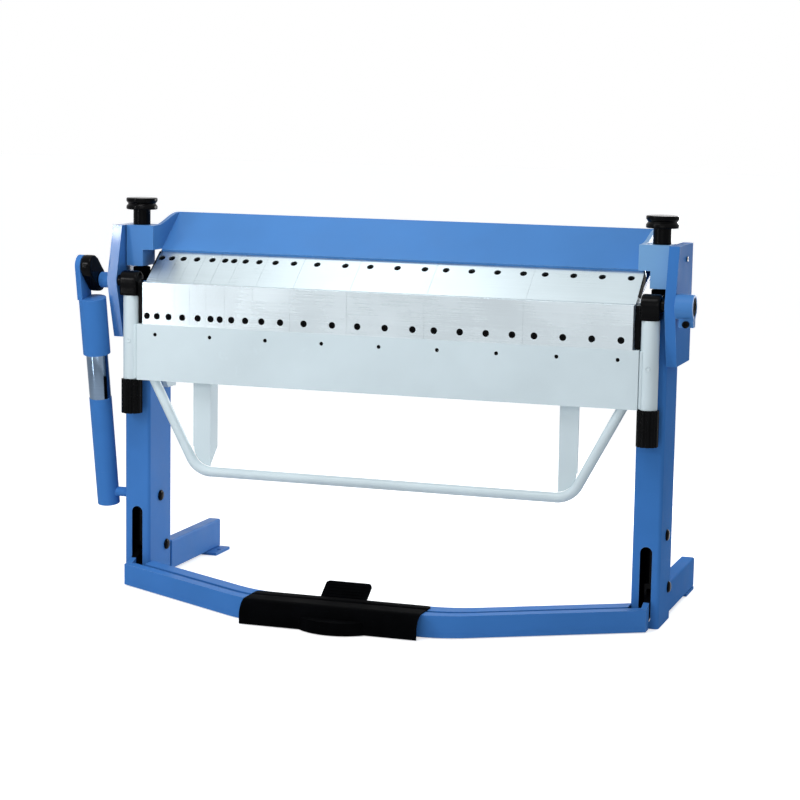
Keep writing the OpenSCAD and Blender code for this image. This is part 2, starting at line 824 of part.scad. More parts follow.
// Thick plate with a rebate for the folding bar
module folding_beam() {
    half = column_x - post_d / 2 - near;
    holes = floor(half / fold_hole_pitch);
    color(pale) difference() {
        at_hinge() {
            along_x(-half, half)
                polygon([[bar_front, -fold_h], [fold_back, -fold_h], [fold_back, -bar_h], [bar_front, -bar_h]]);
            along_x(-bend_len / 2, bend_len / 2)
                polygon([[bar_back, -bar_h], [fold_back, -bar_h], [-fold_gap, -bar_h + fold_chamfer],
                         [-fold_gap, 0], [bar_back, 0]]);
        }
        at_hinge() for (k = [-holes : holes]) translate([k * fold_hole_pitch, bar_front, -plug_drop])
            rotate([90, 0, 0]) translate([0, 0, -bar_t]) cylinder(d = plug_d, h = bar_t + cut);
        at_bar_screws() translate([0, 0, -bar_t - fold_t]) cylinder(d = screw_d + 2 * run, h = fold_t + cut);
    }
}

module end_post() {
    color(pale) at_hinge() translate([column_x, 0, -post_low]) difference() {
        cylinder(d = post_d, h = post_low - knuckle_low);
        translate([0, 0, -cut]) cylinder(d = stud_d + 2 * run, h = post_low);
    }
}

module end_post_left() { on_left() end_post(); }

module end_post_right() { end_post(); }

// Round-topped hinge block with the post's stud below and a flange beside the folding bar
module hinge_knuckle() {
    half = knuckle_r - 4;
    color(black) at_hinge() difference() {
        union() {
            x_rod(2 * knuckle_r, knuckle_in, knuckle_in + knuckle_w);
            translate([knuckle_in, -half, -knuckle_low]) cube([knuckle_w, 2 * half, knuckle_low]);
            translate([column_x, 0, -stud_low]) cylinder(d = stud_d, h = stud_low - knuckle_low + cut);
            translate([flange_in, bar_back - flange_proud, -bar_h + near])
                cube([knuckle_in - flange_in - near, flange_t, bar_h - cut]);
            translate([flange_in, bar_back - flange_proud, -knuckle_low])
                cube([knuckle_in - flange_in + cut, flange_t, knuckle_low - cut]);
        }
        x_rod(pin_d, knuckle_in + 6, knuckle_in + knuckle_w + cut);
    }
}

module hinge_knuckle_left() { on_left() hinge_knuckle(); }

module hinge_knuckle_right() { hinge_knuckle(); }

// The right pin ends in a wide head, sunk in the boss
module hinge_pin_right() {
    head_in = side_out + boss_len / 2 + near;
    color(black) at_hinge() {
        x_rod(pin_d, knuckle_in + 6, head_in + cut);
        x_rod(boss_bore - 2 * near, head_in, head_in + pin_head_t);
    }
}

// The left pin is longer and carries the strut's crank
module hinge_pin_left() {
    on_left() color(black) at_hinge() x_rod(pin_d, knuckle_in + 6, crank_out - 4);
}

// Round nut with flutes for the grip
module post_nut(z) {
    at_hinge() translate([column_x, 0, -z - nut_h]) difference() {
        cylinder(d = nut_d, h = nut_h);
        translate([0, 0, -cut]) cylinder(d = stud_d + 2 * run, h = nut_h + 2 * cut);
        for (k = [0 : nut_flutes - 1]) rotate(k * 360 / nut_flutes)
            translate([nut_d / 2 + flute_d / 2 - flute_deep, 0, -cut])
                cylinder(d = flute_d, h = nut_h + 2 * cut, $fn = 20);
    }
}

module adjusting_nut_left() { on_left() color(black) post_nut(post_low + near); }

module adjusting_nut_right() { color(black) post_nut(post_low + near); }

module lock_nuts() {
    color(black) for (m = [0, 1]) mirror([m, 0, 0]) post_nut(post_low + nut_h + 2 * near);
}

// End of the handle: a slanted tube and a bend that reaches the run
module handle_end() {
    side_len = norm([handle_dx, handle_dz]);
    difference() {
        translate([handle_low_x, 0, -handle_drop]) rotate([0, handle_slant, 0])
            translate([0, 0, handle_setback - cut])
                cylinder(d = handle_d, h = side_len - handle_setback + handle_d);
        translate([handle_low_x, -handle_d, -fold_h])
            cube([2 * (handle_dx + handle_d), 2 * handle_d, fold_h]);
    }
    translate([handle_low_x - handle_setback, 0, -handle_drop + handle_r]) rotate([90, 0, 0])
        rotate([0, 0, -90]) rotate_extrude(angle = 90 - handle_slant, $fn = 96)
            translate([handle_r, 0]) circle(d = handle_d + 2 * near);
}

module handle_tube() {
    run_half = handle_low_x - handle_setback;
    color(pale) at_hinge() {
        translate([0, 0, -handle_drop]) x_rod(handle_d, -run_half - cut, run_half + cut);
        handle_end();
        on_left() handle_end();
    }
}

// Angle post behind the folding beam, its lower corner rounded to lie inside the handle's bend
module handle_angle() {
    low = handle_drop - handle_d / 2;
    bend_x = handle_low_x - handle_setback;
    corner_r = handle_r - handle_d / 2 - 2 * near;
    color(pale) at_hinge() difference() {
        union() {
            translate([angle_x, fold_back, -low]) cube([angle_w, angle_t, low - angle_up]);
            along_x(angle_x, angle_x + angle_t)
                polygon([[fold_back, -low], [fold_back + angle_w, -low + angle_chamfer],
                         [fold_back + angle_w, -angle_up], [fold_back, -angle_up]]);
        }
        translate([bend_x, 0, -handle_drop + handle_r]) along_y(fold_back - cut, fold_back + angle_w + cut)
            difference() {
                translate([0, -handle_r]) square(handle_r);
                circle(corner_r);
            }
    }
}

module handle_angle_left() { on_left() handle_angle(); }

module handle_angle_right() { handle_angle(); }

// Balance strut on the left end

module strut_crank() {
    on_left() color(black) at_hinge() difference() {
        along_x(crank_in, crank_out) {
            circle(crank_hub_r);
            translate(crank_pin) circle(crank_end_r);
            rotate(crank_angle) translate([0, -crank_hub_r]) square([crank_r, 2 * crank_hub_r]);
        }
        x_rod(pin_d, crank_in - cut, crank_out - 4);
    }
}

// Strut pieces stand on the lower pin and lean with the strut
module on_strut() {
    on_left() translate([strut_x, strut_pin_y, strut_pin_z]) rotate([strut_lean, 0, 0]) children();
}

sleeve_top = strut_len - sleeve_below_pin;
sleeve_low = sleeve_top - sleeve_len;
tube_top = sleeve_low - chrome_show;

module strut_lower_tube() {
    color(blue) on_strut() difference() {
        translate([0, 0, -strut_foot]) cylinder(d = strut_tube_d, h = tube_top + strut_foot);
        translate([0, 0, 60]) cylinder(d = chrome_d, h = tube_top);
        x_rod(strut_pin_d + 2 * run, -strut_tube_d, strut_tube_d / 4 + 2);
    }
}

module strut_chrome_tube() {
    color(chrome) on_strut() difference() {
        translate([0, 0, 60]) cylinder(d = chrome_d, h = sleeve_low + 40 - 60);
        translate([0, 0, 60 - cut]) cylinder(d = chrome_d - 8, h = strut_len);
    }
}

module strut_sleeve() {
    cap = 12;
    eye_x = eye_in - strut_x;
    color(blue) on_strut() difference() {
        union() {
            translate([0, 0, sleeve_low]) cylinder(d = sleeve_d, h = sleeve_len);
            translate([eye_x, -eye_w / 2, sleeve_top - cut]) cube([eye_t, eye_w, sleeve_below_pin + cut]);
            translate([0, 0, strut_len]) x_rod(eye_w, eye_x, eye_x + eye_t);
            translate([0, 0, strut_len]) x_rod(crank_pin_d, eye_x, eye_x + eye_t + 4);
        }
        translate([0, 0, sleeve_low - cut]) cylinder(d = chrome_d + 2 * run, h = sleeve_len - cap + cut);
    }
}

// Pedal

module pedal_frame() {
    color(blue) {
        translate([0, 0, pedal_low]) linear_extrude(pedal_h - pedal_wall) difference() {
            v_outline(pedal_end, pedal_front, pedal_back);
            v_outline(pedal_end - pedal_wall, pedal_front + pedal_wall, pedal_back - pedal_wall);
        }
        translate([0, 0, pedal_top - pedal_wall]) linear_extrude(pedal_wall)
            v_outline(pedal_end, pedal_front, pedal_back);
        for (m = [0, 1]) mirror([m, 0, 0]) pedal_lever();
    }
}

// Lever from the pivot inside a leg, through the slot, to the pedal bar
module pedal_lever() {
    reach = pivot_y - (pedal_back + v_rise(rod_x) - pedal_w / 2);
    slot_play = 0.8;
    pin_at = lever_arm / cos(lever_rest);
    difference() {
        translate([rod_x - lever_t / 2, pivot_y, pivot_z]) rotate([lever_rest, 0, 0]) along_x(0, lever_t)
            difference() {
                union() {
                    circle(lever_half);
                    translate([-reach, -lever_half]) square([reach, 2 * lever_half]);
                }
                circle(d = pivot_d + 2 * run);
                for (p = [pin_at + slot_play, lever_arm - slot_play])
                    translate([-p, 0]) circle(d = lever_pin_d + 2 * slot_play);
                translate([-pin_at - slot_play, -lever_pin_d / 2 - slot_play])
                    square([pin_at - lever_arm + 2 * slot_play, lever_pin_d + 2 * slot_play]);
            }
        translate([0, -bend_len / 2, -bend_len]) cube([leg_out, bend_len, bend_len + pedal_low]);
    }
}

cover_left = cover_x - cover_len / 2;
cover_front = pedal_front - cover_reach;
cover_back = pedal_back + 8;
cover_r = cover_reach;
cover_top = pedal_top + near + cover_t;

// Bent sheet: flat on the bar, a round front and a straight skirt
module cover_profile() {
    difference() {
        cover_outer(0);
        cover_outer(cover_t);
    }
}

module cover_outer(inset) {
    front = cover_front + inset;
    top = cover_top - inset;
    r = cover_r - inset;
    low = inset > 0 ? pedal_low - cut : pedal_low;
    back = inset > 0 ? cover_back + cut : cover_back;
    translate([front, low]) square([back - front, top - r - low]);
    translate([front + r, low]) square([back - front - r, top - low]);
    intersection() {
        translate([front + r, top - r]) circle(r);
        translate([front, low]) square([r, top - low]);
    }
}

toe_w = 165;
toe_r = (pow(toe_w / 2, 2) + pow(toe_reach, 2)) / (2 * toe_reach);
toe_x = cover_x + 13;
toe_top = 34;

// Curved toe guard on the front of the skirt
module toe_guard() {
    translate([toe_x, cover_front - toe_reach + toe_r, pedal_low]) difference() {
        cylinder(r = toe_r, h = toe_top - pedal_low);
        translate([0, 0, -cut]) cylinder(r = toe_r - cover_t, h = toe_top - pedal_low - cover_t + cut);
        translate([-toe_r - cut, toe_reach - toe_r, -cut])
            cube([2 * toe_r + 2 * cut, 2 * toe_r, toe_top + 2 * cut]);
    }
}

module pedal_cover() {
    color(black) {
        along_x(cover_left, cover_left + cover_len) cover_profile();
        toe_guard();
    }
}

// Tilted tread plate on its hinge sleeve and pin
module release_pedal() {
    pin_half = lug_x + lug_t / 2;
    sleeve_half = lug_x - lug_t / 2 - near;
    color(black) translate([release_mid, release_y, release_z]) {
        x_rod(release_pin_d, -pin_half - 2, pin_half + 2);
        x_rod(release_pin_d + 6, -sleeve_half, sleeve_half);
        rotate([release_tilt, 0, 0]) translate([0, release_len / 2 - 8, release_lift])
            linear_extrude(release_t) rounded(release_w, release_len, 10);
        rotate([release_tilt, 0, 0]) translate([-sleeve_half + 4, -4, 0])
            cube([2 * sleeve_half - 8, 8, release_lift + cut]);
    }
}

// Nodes

in_place() {
    leg_left();
    leg_right();
    side_plate_left();
    side_plate_right();
    hinge_boss_left();
    hinge_boss_right();
    boss_clamp_bolt();
    guide_screws();
    rear_foot_left();
    rear_foot_right();
    cross_tie();
    bed_beam();
    bed_bracket_left();
    bed_bracket_right();
    leg_bolts();
    lift_springs();
    strut_anchor_pin();
    upper_beam();
    beam_arm_left();
    beam_arm_right();
    finger_screws();
    finger_end_strips();
    pull_rod_left();
    pull_rod_right();
    clamp_knob_left();
    clamp_knob_right();
    folding_beam();
    folding_bar();
    bar_screws();
    end_post_left();
    end_post_right();
    hinge_knuckle_left();
    hinge_knuckle_right();
    hinge_pin_left();
    hinge_pin_right();
    adjusting_nut_left();
    adjusting_nut_right();
    lock_nuts();
    handle_tube();
    handle_angle_left();
    handle_angle_right();
    strut_crank();
    strut_lower_tube();
    strut_chrome_tube();
    strut_sleeve();
    pedal_frame();
    pedal_cover();
    release_pedal();
    for (i = [0 : finger_count - 1])
        upper_finger(i);
}
echo(x_shift = x_shift, y_shift = y_shift, lever_swing = lever_swing, rod_pin_z = rod_pin_z,
     strut_stroke = strut_stroke, strut_swing = strut_swing, strut_lean = strut_lean, rod_x = rod_x);
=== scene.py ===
"""Looks of the box-and-pan folding machine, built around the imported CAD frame, in metres."""
import json
import math

import bmesh
import bpy
from mathutils import Matrix, Vector


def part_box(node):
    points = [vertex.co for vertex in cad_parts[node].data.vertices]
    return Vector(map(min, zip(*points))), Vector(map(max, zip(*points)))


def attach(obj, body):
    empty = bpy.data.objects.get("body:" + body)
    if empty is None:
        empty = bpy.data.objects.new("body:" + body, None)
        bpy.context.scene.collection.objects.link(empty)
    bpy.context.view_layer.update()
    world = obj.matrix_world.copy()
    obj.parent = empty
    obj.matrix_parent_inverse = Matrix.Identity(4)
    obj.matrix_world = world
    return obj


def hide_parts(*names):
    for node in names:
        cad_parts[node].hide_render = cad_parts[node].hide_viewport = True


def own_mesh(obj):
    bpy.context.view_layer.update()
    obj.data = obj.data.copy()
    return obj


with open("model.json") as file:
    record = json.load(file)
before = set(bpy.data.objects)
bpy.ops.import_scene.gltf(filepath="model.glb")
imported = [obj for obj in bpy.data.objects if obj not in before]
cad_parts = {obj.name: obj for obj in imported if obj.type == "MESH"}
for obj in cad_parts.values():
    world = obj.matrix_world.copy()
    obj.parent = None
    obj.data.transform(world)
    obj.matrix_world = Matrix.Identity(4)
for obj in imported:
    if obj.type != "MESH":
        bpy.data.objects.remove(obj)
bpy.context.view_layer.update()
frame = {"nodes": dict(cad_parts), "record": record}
nodes = frame["nodes"]
scene = bpy.context.scene
MM = 0.001

# Places that several details share, read from the frame. The bend line is the machine's own zero, and the
# front of the folding bar stands this many millimetres before it.
BAR_REACH = 20
MID_X = (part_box("leg_left")[1].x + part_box("leg_right")[0].x) / 2
BEND_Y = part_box("folding_bar")[0].y + BAR_REACH * MM
BEND_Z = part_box("bed_beam")[1].z


def at(x, y, z):
    """A point in millimetres from the machine's mid-plane, bend line and floor."""
    return Vector((MID_X + x * MM, BEND_Y + y * MM, z * MM))


def from_bend(x, y, z):
    """The same, with the height counted from the bend line."""
    return at(x, y, z) + Vector((0, 0, BEND_Z))


# Materials

# Colour sockets of the mix node by number, because their names repeat
MIX_A = 6
MIX_B = 7
MIX_RESULT = 2


class Shader:
    """A material's node tree with the few helpers that the finishes below need."""

    def __init__(self, name):
        self.material = bpy.data.materials.new(name)
        self.material.use_nodes = True
        self.tree = self.material.node_tree
        self.bsdf = self.tree.nodes["Principled BSDF"]
        self.coords = self.add("ShaderNodeTexCoord").outputs["Object"]

    def add(self, kind, **settings):
        node = self.tree.nodes.new(kind)
        for key, value in settings.items():
            setattr(node, key, value)
        return node

    def link(self, source, target):
        self.tree.links.new(source, target)

    def set(self, **values):
        for key, value in values.items():
            self.bsdf.inputs[key.replace("_", " ")].default_value = value

    def noise(self, scale, detail=4.0, roughness=0.55, stretch=(1, 1, 1)):
        mapping = self.add("ShaderNodeMapping")
        mapping.inputs["Scale"].default_value = stretch
        self.link(self.coords, mapping.inputs["Vector"])
        noise = self.add("ShaderNodeTexNoise")
        noise.inputs["Scale"].default_value = scale
        noise.inputs["Detail"].default_value = detail
        noise.inputs["Roughness"].default_value = roughness
        self.link(mapping.outputs["Vector"], noise.inputs["Vector"])
        return noise.outputs["Fac"]

    def remap(self, source, low, high, to_low=0.0, to_high=1.0):
        node = self.add("ShaderNodeMapRange")
        for key, value in (("From Min", low), ("From Max", high), ("To Min", to_low), ("To Max", to_high)):
            node.inputs[key].default_value = value
        self.link(source, node.inputs["Value"])
        return node.outputs["Result"]

    def inside(self, low, high):
        """A mask that is 1 between two corners, along X and Y."""
        fade = 0.5 * MM
        split = self.add("ShaderNodeSeparateXYZ")
        self.link(self.coords, split.inputs["Vector"])
        mask = None
        for axis, start, end in (("X", low[0], high[0]), ("Y", low[1], high[1])):
            for edge, way in ((start, 1), (end, -1)):
                step = self.remap(split.outputs[axis], edge - way * fade, edge + way * fade)
                mask = step if mask is None else self.times(mask, step)
        return mask

    def times(self, a, b):
        node = self.add("ShaderNodeMath", operation="MULTIPLY")
        self.link(a, node.inputs[0])
        self.link(b, node.inputs[1])
        return node.outputs["Value"]

    def mix(self, factor, a, b):
        """Mixes two colours, each a value or a socket."""
        node = self.add("ShaderNodeMix", data_type="RGBA")
        self.link(factor, node.inputs["Factor"])
        for socket, colour in ((node.inputs[MIX_A], a), (node.inputs[MIX_B], b)):
            if isinstance(colour, tuple):
                socket.default_value = (*colour, 1)
            else:
                self.link(colour, socket)
        return node.outputs[MIX_RESULT]

    def edges(self, radius):
        """A mask that is 1 along convex and concave edges within the radius."""
        bevel = self.add("ShaderNodeBevel", samples=4)
        bevel.inputs["Radius"].default_value = radius
        geometry = self.add("ShaderNodeNewGeometry")
        dot = self.add("ShaderNodeVectorMath", operation="DOT_PRODUCT")
        self.link(bevel.outputs["Normal"], dot.inputs[0])
        self.link(geometry.outputs["Normal"], dot.inputs[1])
        return self.remap(dot.outputs["Value"], 0.98, 0.85)

    def bump(self, height, strength, distance):
        node = self.add("ShaderNodeBump")
        node.inputs["Strength"].default_value = strength
        node.inputs["Distance"].default_value = distance
        self.link(height, node.inputs["Height"])
        self.link(node.outputs["Normal"], self.bsdf.inputs["Normal"])


BLUE = (0.048, 0.180, 0.490)
# A paler blue on the beam, its left arm and the hinge boss: painted sheen
SHEEN_BLUE = (0.062, 0.208, 0.51)
# A paler blue on the right arm: painted highlight
HIGHLIGHT_BLUE = (0.17, 0.36, 0.63)
RUBBED_AND_HIGHLIT_BLUE = (0.22, 0.38, 0.62)
PALE = (0.575, 0.675, 0.715)
RUBBED_AND_HIGHLIT_PALE = (0.84, 0.88, 0.88)
INSIDE_SHADE_BLACK = (0.002, 0.002, 0.0024)
OXIDE_BLACK = (0.0014, 0.0015, 0.0018)
PAINT_BLACK = (0.0012, 0.0013, 0.0016)
RUBBED_OXIDE = (0.03, 0.03, 0.033)
RUBBED_BLACK = (0.02, 0.02, 0.022)
RUBBED_KNOB = (0.012, 0.012, 0.013)
GROUND = (0.57, 0.66, 0.70)
POLISHED = (0.68, 0.76, 0.80)
TURNED = (0.50, 0.52, 0.54)
# Chrome as dark as a painted reflection of dark surroundings, in two tones for the rings
CHROME_DARK = (0.17, 0.235, 0.325)
CHROME_LIGHT = (0.19, 0.26, 0.355)

# Stretch of the marks on bare metal: lines along X, lines along Z and rings round Z
ALONG_X = (0.6, 40, 40)
ALONG_Z = (30, 30, 1)
ROUND_Z = (1, 1, 60)


def shade(colour, factor):
    return tuple(min(1.0, c * factor) for c in colour)


def enamel(name, colour, worn, roughness=0.38, gloss=0.03, bare=None, peel=0.10):
    """Sprayed machine enamel: faint mottling and scuffs, orange peel and thin rubbed edges, paler also as a
    painted highlight.
    Between the two corners given it is black: painted shade, as inside a tube."""
    s = Shader(name)
    cloud = s.noise(3.5, 3)
    base = s.mix(s.remap(cloud, 0.35, 0.65), shade(colour, 0.95), shade(colour, 1.05))
    scuffs = s.remap(s.noise(26, 8, 0.7), 0.60, 0.74, 0, 0.5)
    base = s.mix(s.times(scuffs, s.remap(s.noise(5, 2), 0.5, 0.6)), base, shade(colour, 1.12))
    # Paler edges: rubbed paint, and a painted highlight along the edges
    rubbed = s.times(s.edges(2.2 * MM), s.remap(s.noise(60, 6, 0.7), 0.36, 0.58))
    base = s.mix(s.times(rubbed, s.remap(cloud, 0.2, 0.8, 0.35, 0.85)), base, worn)
    if bare is not None:
        # Black between the given corners: painted shade
        base = s.mix(s.inside(*bare), base, INSIDE_SHADE_BLACK)
    s.link(base, s.bsdf.inputs["Base Color"])
    blur = s.remap(s.noise(14, 5), 0.3, 0.7, roughness - 0.05, roughness + 0.09)
    s.link(blur, s.bsdf.inputs["Roughness"])
    s.bump(s.noise(420, 2), peel, 0.25 * MM)
    s.set(Specular_IOR_Level=gloss)
    return s.material


def ground_steel(name, colour, stretch, roughness):
    """Ground or turned steel: long fine tool lines, a cloudy polish and edges made brighter as a painted
    glint.
    """
    s = Shader(name)
    lines = s.noise(9, 6, 0.75, stretch)
    cloud = s.noise(7, 3)
    base = s.mix(s.remap(lines, 0.3, 0.7), shade(colour, 0.96), shade(colour, 1.03))
    base = s.mix(s.remap(cloud, 0.4, 0.7, 0, 0.35), base, shade(colour, 0.92))
    # Brighter colour along the edges: painted glint
    edge_glint = s.times(s.edges(0.9 * MM), s.remap(lines, 0.3, 0.6))
    base = s.mix(edge_glint, base, shade(colour, 1.25))
    s.link(base, s.bsdf.inputs["Base Color"])
    blur = s.add("ShaderNodeMath", operation="ADD")
    s.link(s.remap(lines, 0.25, 0.75, roughness - 0.04, roughness + 0.04), blur.inputs[0])
    s.link(s.remap(cloud, 0.3, 0.7, -0.03, 0.05), blur.inputs[1])
    s.link(blur.outputs["Value"], s.bsdf.inputs["Roughness"])
    s.bump(lines, 0.02, 0.1 * MM)
    s.set(Metallic=1.0)
    return s.material


def black_finish(name, colour, worn, roughness, grain, gloss):
    """Black oxide, black paint or moulded plastic: mottled gloss, fine grain and paler edges."""
    s = Shader(name)
    cloud = s.noise(22, 4)
    base = s.mix(s.remap(cloud, 0.35, 0.7), shade(colour, 0.8), shade(colour, 1.5))
    rubbed = s.times(s.edges(1.0 * MM), s.remap(s.noise(90, 6, 0.7), 0.40, 0.62, 0, 0.8))
    base = s.mix(rubbed, base, worn)
    s.link(base, s.bsdf.inputs["Base Color"])
    s.link(s.remap(cloud, 0.3, 0.7, roughness - 0.07, roughness + 0.08), s.bsdf.inputs["Roughness"])
    s.bump(s.noise(grain, 3), 0.15, 0.2 * MM)
    s.set(Specular_IOR_Level=gloss)
    return s.material


def chrome_plate(name):
    """Hard chrome: nearly clean, with faint rings left by the sliding sleeve, and a dark colour that is a
    painted reflection of dark surroundings.
    """
    s = Shader(name)
    rings = s.noise(6, 4, 0.6, ROUND_Z)
    base = s.mix(s.remap(rings, 0.35, 0.7), CHROME_DARK, CHROME_LIGHT)
    s.link(base, s.bsdf.inputs["Base Color"])
    s.link(s.remap(rings, 0.3, 0.7, 0.10, 0.13), s.bsdf.inputs["Roughness"])
    s.bump(rings, 0.004, 0.02 * MM)
    s.set(Metallic=1.0)
    return s.material


FINISHES = {
    "frame_paint": enamel("blue_enamel", BLUE, RUBBED_AND_HIGHLIT_BLUE),
    "pale_paint": enamel("pale_enamel", PALE, RUBBED_AND_HIGHLIT_PALE, gloss=0.5),
    "polished_steel": ground_steel("ground_steel", GROUND, ALONG_X, 0.30),
    "bare_steel": ground_steel("turned_steel", TURNED, ALONG_Z, 0.34),
    "blackened_steel": black_finish("black_oxide", OXIDE_BLACK, RUBBED_OXIDE, 0.18, 300, 0.06),
    "black_paint": black_finish("black_paint", PAINT_BLACK, RUBBED_BLACK, 0.55, 500, 0.004),
    "black_knob": black_finish("black_moulding", PAINT_BLACK, RUBBED_KNOB, 0.15, 700, 0.06),
    "chrome": chrome_plate("hard_chrome"),
}


def blue_coat(name, colour=BLUE, **coat):
    """The machine's blue enamel, with what sets one coat of it apart from another."""
    return enamel("blue_enamel_" + name, colour, RUBBED_AND_HIGHLIT_BLUE, **coat)


DARK_INSET = 3 * MM


def tube_inside(node):
    """The two corners between which a leg is black: its bare inside, painted as dark as the shade there.
    They lie within its wall, so only the inside is.
    """
    low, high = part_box(node)
    return [(low.x + DARK_INSET, low.y + DARK_INSET), (high.x - DARK_INSET, high.y - DARK_INSET)]


# The pedal's levers are black from a little before the legs' fronts to the back: painted shade where they
# run inside the legs
LEVER_DARK = 8 * MM
in_legs = [(-1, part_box("leg_left")[0].y - LEVER_DARK), (1, 1)]

fresh = blue_coat("fresh", roughness=0.20, gloss=0.9, peel=0.03)
# The right arm's coat, paler blue as a painted highlight
painted_highlight = blue_coat("painted_highlight", HIGHLIGHT_BLUE, roughness=0.34, gloss=0.14)
# Glossier, and paler blue as a painted sheen
glossy_sheen = blue_coat("glossy_sheen", SHEEN_BLUE, roughness=0.34, gloss=0.14)
dull = blue_coat("dull", roughness=0.42, gloss=0.002)
satin = blue_coat("satin", gloss=0.12)

# Nodes that differ from their slot: tubes bare inside and levers running in them, both painted black as the
# shade there, coats that are glossier or duller than the rest, coats paler than the rest as a painted sheen
# on the beam and a painted highlight on the right arm, and a bar polished by use
OWN_FINISH = {
    "leg_left": blue_coat("left_leg", gloss=0.08, bare=tube_inside("leg_left")),
    "leg_right": blue_coat("right_leg", roughness=0.42, gloss=0.002, bare=tube_inside("leg_right")),
    "pedal_frame": blue_coat("levers", bare=in_legs),
    "folding_bar": ground_steel("polished_bar", POLISHED, ALONG_X, 0.26),
    "side_plate_left": fresh,
    "side_plate_right": dull,
    "upper_beam": glossy_sheen,
    "beam_arm_left": glossy_sheen,
    "beam_arm_right": painted_highlight,
    "hinge_boss_right": glossy_sheen,
    "rear_foot_left": satin,
    "rear_foot_right": dull,
}
SLOT_OF = {part["node"]: part["material_slot"] for part in frame["record"]["subparts"]}

# CAD nodes: each keeps its mesh and gets its finish, smooth round faces and edges softened by a width in
# millimetres
EDGE_SOFTENING = {
    "frame_paint": 1.2,
    "pale_paint": 0.9,
    "polished_steel": 0.3,
    "blackened_steel": 0.6,
    "black_paint": 0.6,
    "black_knob": 0.9,
}
SHARP = math.radians(28)
BEVELLED = math.radians(40)
FLAT = math.radians(0.5)
WELD_GAP = 0.01 * MM

# Castings, with the number of passes that round their edges
CAST = {"hinge_knuckle_left": 30, "hinge_knuckle_right": 30, "strut_crank": 50}
CAST_VOXEL = 1.6 * MM


def round_off(node, passes):
    """Gives a casting its rounded edges, rounder with more passes."""
    skin = node.modifiers.new("cast_skin", "REMESH")
    skin.mode = "VOXEL"
    skin.voxel_size = CAST_VOXEL
    skin.use_smooth_shade = True
    soft = node.modifiers.new("cast_edges", "SMOOTH")
    soft.factor = 0.5
    soft.iterations = passes


def dress(name, node):
    """Gives a CAD node its finish and the modifiers that soften it."""
    slot = SLOT_OF[name]
    node.data.materials.clear()
    node.data.materials.append(OWN_FINISH.get(name, FINISHES[slot]))
    weld = node.modifiers.new("weld", "WELD")
    weld.merge_threshold = WELD_GAP
    if name in CAST:
        round_off(node, CAST[name])
        return
    flat = node.modifiers.new("flat_faces", "DECIMATE")
    flat.decimate_type = "DISSOLVE"
    flat.angle_limit = FLAT
    if slot in EDGE_SOFTENING:
        bevel = node.modifiers.new("soft_edges", "BEVEL")
        bevel.width = EDGE_SOFTENING[slot] * MM
        bevel.segments = 2
        bevel.limit_method = "ANGLE"
        bevel.angle_limit = BEVELLED
        bevel.use_clamp_overlap = True
    even = node.modifiers.new("even_shading", "WEIGHTED_NORMAL")
    even.mode = "FACE_AREA"
    even.keep_sharp = True
    for polygon in node.data.polygons:
        polygon.use_smooth = True
    node.data.set_sharp_from_angle(angle=SHARP)


for name, node in nodes.items():
    dress(name, node)


# Makers of added details

def piece(name, mesh, slot, body):
    """Makes an object of a bmesh, gives it a finish and lets it ride on a body."""
    data = bpy.data.meshes.new(name)
    mesh.to_mesh(data)
    mesh.free()
    obj = bpy.data.objects.new(name, data)
    scene.collection.objects.link(obj)
    for polygon in data.polygons:
        polygon.use_smooth = True
    data.materials.append(FINISHES[slot])
    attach(obj, body)
    return obj


def all_round(count):
    """Angles that divide a full turn evenly."""
    return [2 * math.pi * k / count for k in range(count)]


def loft(mesh, rings, endless=False):
    """Joins rings of vertices with faces, and closes the ends unless the last ring meets the first."""
    count = len(rings[0])
    following = rings[1:] + rings[:1] if endless else rings[1:]
    for low, high in zip(rings, following):
        for k in range(count):
            mesh.faces.new((low[k], low[(k + 1) % count], high[(k + 1) % count], high[k]))
    if not endless:
        mesh.faces.new(rings[0][::-1])
        mesh.faces.new(rings[-1])


def lathe(mesh, profile, centre, axis, sides=24, hollow=False):
    """Adds a turned form: profile gives (radius, height) pairs in millimetres, along the axis.
    The profile of a hollow form goes once round its section, outside up and inside down."""
    turn = Vector((0, 0, 1)).rotation_difference(Vector(axis)).to_matrix()
    rings = []
    for across, along in profile:
        radius = across * MM
        height = along * MM
        ring = []
        for angle in all_round(sides):
            local = Vector((radius * math.cos(angle), radius * math.sin(angle), height))
            ring.append(mesh.verts.new(Vector(centre) + turn @ local))
        rings.append(ring)
    loft(mesh, rings, hollow)


def plate(mesh, outline, low, high, hole=None):
    """Adds a flat plate between two heights: points of its outline in X and Y, and of a hole in it."""
    loops = [(outline, low), (outline, high)]
    if hole:
        loops += [(hole, high), (hole, low)]
    loft(mesh, [[mesh.verts.new((x, y, z)) for x, y in points] for points, z in loops], hole is not None)


def rectangle_round(low, high, centre, radius, sides=40):
    """Points of a rectangle and of a round hole in it, matched by their directions from the centre."""
    corners = [(x, y) for x in (low.x, high.x) for y in (low.y, high.y)]
    turns = [math.atan2(y - centre.y, x - centre.x) for x, y in corners]
    turns += [2 * math.pi * (k + 0.5) / sides - math.pi for k in range(sides)]
    outline, hole = [], []
    for turn in sorted(turns):
        across, along = math.cos(turn), math.sin(turn)
        reach_x = ((high.x if across > 0 else low.x) - centre.x) / across
        reach_y = ((high.y if along > 0 else low.y) - centre.y) / along
        reach = min(reach_x, reach_y)
        outline.append((centre.x + reach * across, centre.y + reach * along))
        hole.append((centre.x + radius * across, centre.y + radius * along))
    return outline, hole


BEAD_SIDES = 8
BEAD_TIP = 0.4


